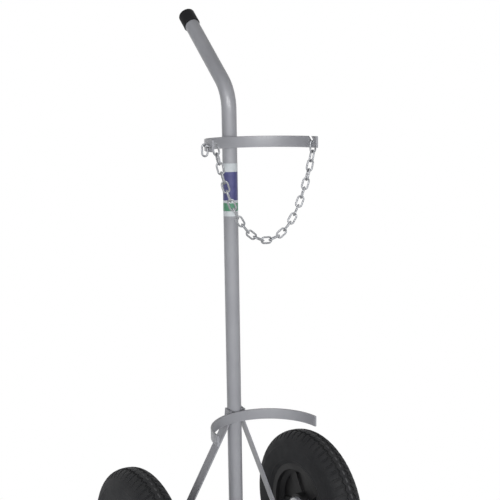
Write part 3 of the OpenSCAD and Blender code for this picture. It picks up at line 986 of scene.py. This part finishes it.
# solids that stay get softened edges and their finish
keptFinishes = {
    "grey_paint": greyPaint, "zinc": zincPlate, "bearing_steel": groundSteel, "cap_plastic": blackCap,
    "rim_black": blackRim, "tyre_rubber": tyreRubber, "tube_rubber": tyreRubber,
}
keptEdges = {  # width of the softened edge
    "brace": 0.0007, "gusset": 0.0006, "toe_plate": 0.0008, "axle_beam": 0.0004, "axle": 0.0008,
    "washers": 0.0004, "hub_tube": 0.0006, "rim": 0.0012, "bearings": 0.0003, "axle_bush": 0.0004,
}
softening = {"merge": 1e-6, "segments": 2, "fromAngle": 40}


def dressKept():
    slotOf = {row["node"]: row["material_slot"] for row in frame["record"]["subparts"]}
    for name, piece in nodes.items():
        if piece.hide_render:
            continue
        piece.data.materials.clear()
        piece.data.materials.append(keptFinishes[slotOf[name]])
        kind = name.split("_", 1)[1] if name.startswith(sides) else name
        if kind in keptEdges:
            weld = piece.modifiers.new("weld", "WELD")
            weld.merge_threshold = softening["merge"]
            bevel = piece.modifiers.new("bevel", "BEVEL")
            bevel.width = keptEdges[kind]
            bevel.segments = softening["segments"]
            bevel.limit_method = "ANGLE"
            bevel.angle_limit = math.radians(softening["fromAngle"])
            bevel.harden_normals = True


dressKept()
print("kept solids dressed")

# white studio
studio = {
    "floorHalf": 6.0,
    "floorHeight": -0.0006,
    "floorBounce": 0.9,  # what the floor gives back to the object
    "floorPaint": 0.55,  # share of the floor's look near the object that takes light and shadow
    "floorGlow": 0.6,
    "floorFade": (0.45, 0.75),  # metres from the object over which the shadow ends
    "skyTop": 0.0,
    "skyEnd": 0.55,  # height of the direction at which the sky is down to its top
    "skyLevel": 0.46,
}
lamps = {
    "frontSoftbox": {  # flat light, polarised so that it leaves no streaks
        "place": (-1.15, -2.75, 0.9),
        "aim": (0.0, 0.1, 0.9),
        "size": (5.0, 2.0),
        "power": 98.0,
        "sheen": False,
    },
    "leftFill": {  # lifts the left side of the tube and the ends of the bands
        "place": (-2.5, -0.5, 1.0),
        "aim": (0.0, 0.1, 0.9),
        "size": (1.4, 2.0),
        "power": 6.5,
        "sheen": False,
    },
    "backFill": {  # lights what only shows from behind
        "place": (0.9, 3.0, 0.8),
        "aim": (0.0, 0.1, 0.7),
        "size": (4.0, 1.4),
        "power": 55.0,
        "sheen": False,
    },
    "highStrip": {  # seen only as a sheen
        "place": (-1.44, -2.25, 2.2),
        "aim": (0.0, 0.15, 1.2),
        "size": (2.6, 0.4),
        "power": 100.0,
        "sheen": True,
    },
}


def cameraMask(tree):
    path = addNode(tree, "LightPath")
    seen = calc(tree, "MAXIMUM", path.outputs["Is Camera Ray"], path.outputs["Is Glossy Ray"])
    return calc(tree, "MAXIMUM", seen, path.outputs["Is Transmission Ray"])


def plainShader(tree, kind, level):
    shader = addNode(tree, kind)
    shader.inputs["Color"].default_value = (level, level, level, 1)
    return shader.outputs[0]


def mixShaders(tree, share, first, second):
    mix = addNode(tree, "MixShader")
    feed(tree, mix.inputs["Fac"], share)
    tree.links.new(first, mix.inputs[1])
    tree.links.new(second, mix.inputs[2])
    return mix.outputs[0]


def makeFloor():
    half = studio["floorHalf"]
    z = studio["floorHeight"]
    verts = [(-half, -half, z), (half, -half, z), (half, half, z), (-half, half, z)]
    material = bpy.data.materials.new("paleFloor")
    material.use_nodes = True
    tree = material.node_tree
    tree.nodes.clear()
    lit = plainShader(tree, "BsdfDiffuse", studio["floorBounce"])
    shadowed = addNode(tree, "AddShader")
    tree.links.new(plainShader(tree, "BsdfDiffuse", studio["floorPaint"]), shadowed.inputs[0])
    tree.links.new(plainShader(tree, "Emission", studio["floorGlow"]), shadowed.inputs[1])
    reach = addNode(tree, "VectorMath", operation="LENGTH")
    tree.links.new(addNode(tree, "TexCoord").outputs["Object"], reach.inputs[0])
    far = stretchMask(tree, reach.outputs["Value"], *studio["floorFade"])
    seen = mixShaders(tree, far, shadowed.outputs[0], plainShader(tree, "Emission", 1.0))
    out = addNode(tree, "OutputMaterial")
    tree.links.new(mixShaders(tree, cameraMask(tree), lit, seen), out.inputs["Surface"])
    newPiece("studio_floor", verts, [(0, 1, 2, 3)], material)


def makeWorld():
    world = bpy.data.worlds.new("studioWorld")
    scene.world = world
    world.use_nodes = True
    tree = world.node_tree
    tree.nodes.clear()
    split = addNode(tree, "SeparateXYZ")
    tree.links.new(addNode(tree, "TexCoord").outputs["Generated"], split.inputs[0])
    upper = stretchMask(tree, split.outputs["Z"], 0.0, studio["skyEnd"])
    level = calc(tree, "MULTIPLY_ADD", upper, studio["skyTop"] - studio["skyLevel"], studio["skyLevel"])
    soft = addNode(tree, "Background")
    feed(tree, soft.inputs["Strength"], level)
    soft.inputs["Color"].default_value = (1, 1, 1, 1)
    white = plainShader(tree, "Background", 1.0)
    out = addNode(tree, "OutputWorld")
    tree.links.new(mixShaders(tree, cameraMask(tree), soft.outputs[0], white), out.inputs["Surface"])


def makeLamp(name, setting):
    data = bpy.data.lights.new(name, "AREA")
    data.shape = "RECTANGLE"
    data.size, data.size_y = setting["size"]
    data.energy = setting["power"]
    lamp = bpy.data.objects.new(name, data)
    scene.collection.objects.link(lamp)
    lamp.visible_glossy = setting["sheen"]
    lamp.visible_diffuse = not setting["sheen"]
    lamp.location = setting["place"]
    aim = Vector(setting["aim"]) - lamp.location
    lamp.rotation_euler = aim.to_track_quat("-Z", "Y").to_euler()


makeFloor()
makeWorld()
for name, setting in lamps.items():
    makeLamp(name, setting)
scene.view_settings.view_transform = "Standard"
print("studio made")
